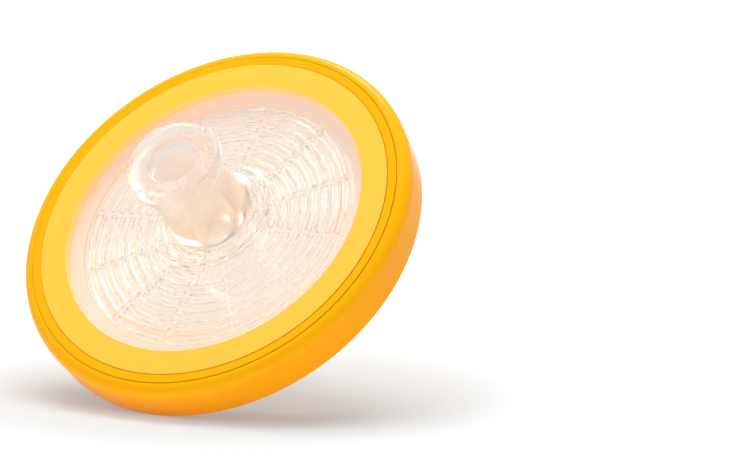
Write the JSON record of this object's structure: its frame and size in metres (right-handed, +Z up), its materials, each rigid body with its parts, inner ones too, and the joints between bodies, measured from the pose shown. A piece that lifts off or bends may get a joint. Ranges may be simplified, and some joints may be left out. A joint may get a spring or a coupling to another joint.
{
  "type": "syringe filter",
  "caption": "Round disc filter with a clear ribbed body, a yellow rim ring, a female lock fitting on one side and a slip nozzle on the other, lying on its rim and nozzle tip.",
  "frame": {"origin": "on the bench that the filter lies on, under the middle of its box", "axes": "+Z up; +X along the ring's level diameter, which is the longest extent; the filter's own axis lies in the YZ plane, 47.3 degrees from upright, with its inlet up and towards -Y and its nozzle's end down and towards +Y"},
  "size_m": [0.0332, 0.0264, 0.0264],
  "materials": {
    "clear_plastic": "clear glossy moulding",
    "membrane": "matt white porous sheet",
    "ring_plastic": "yellow semi-gloss moulding"
  },
  "bodies": {
    "root": {"inlet_housing": "clear_plastic", "outlet_housing": "clear_plastic", "membrane": "membrane", "sealing_ring": "ring_plastic"}
  },
  "joints": []
}
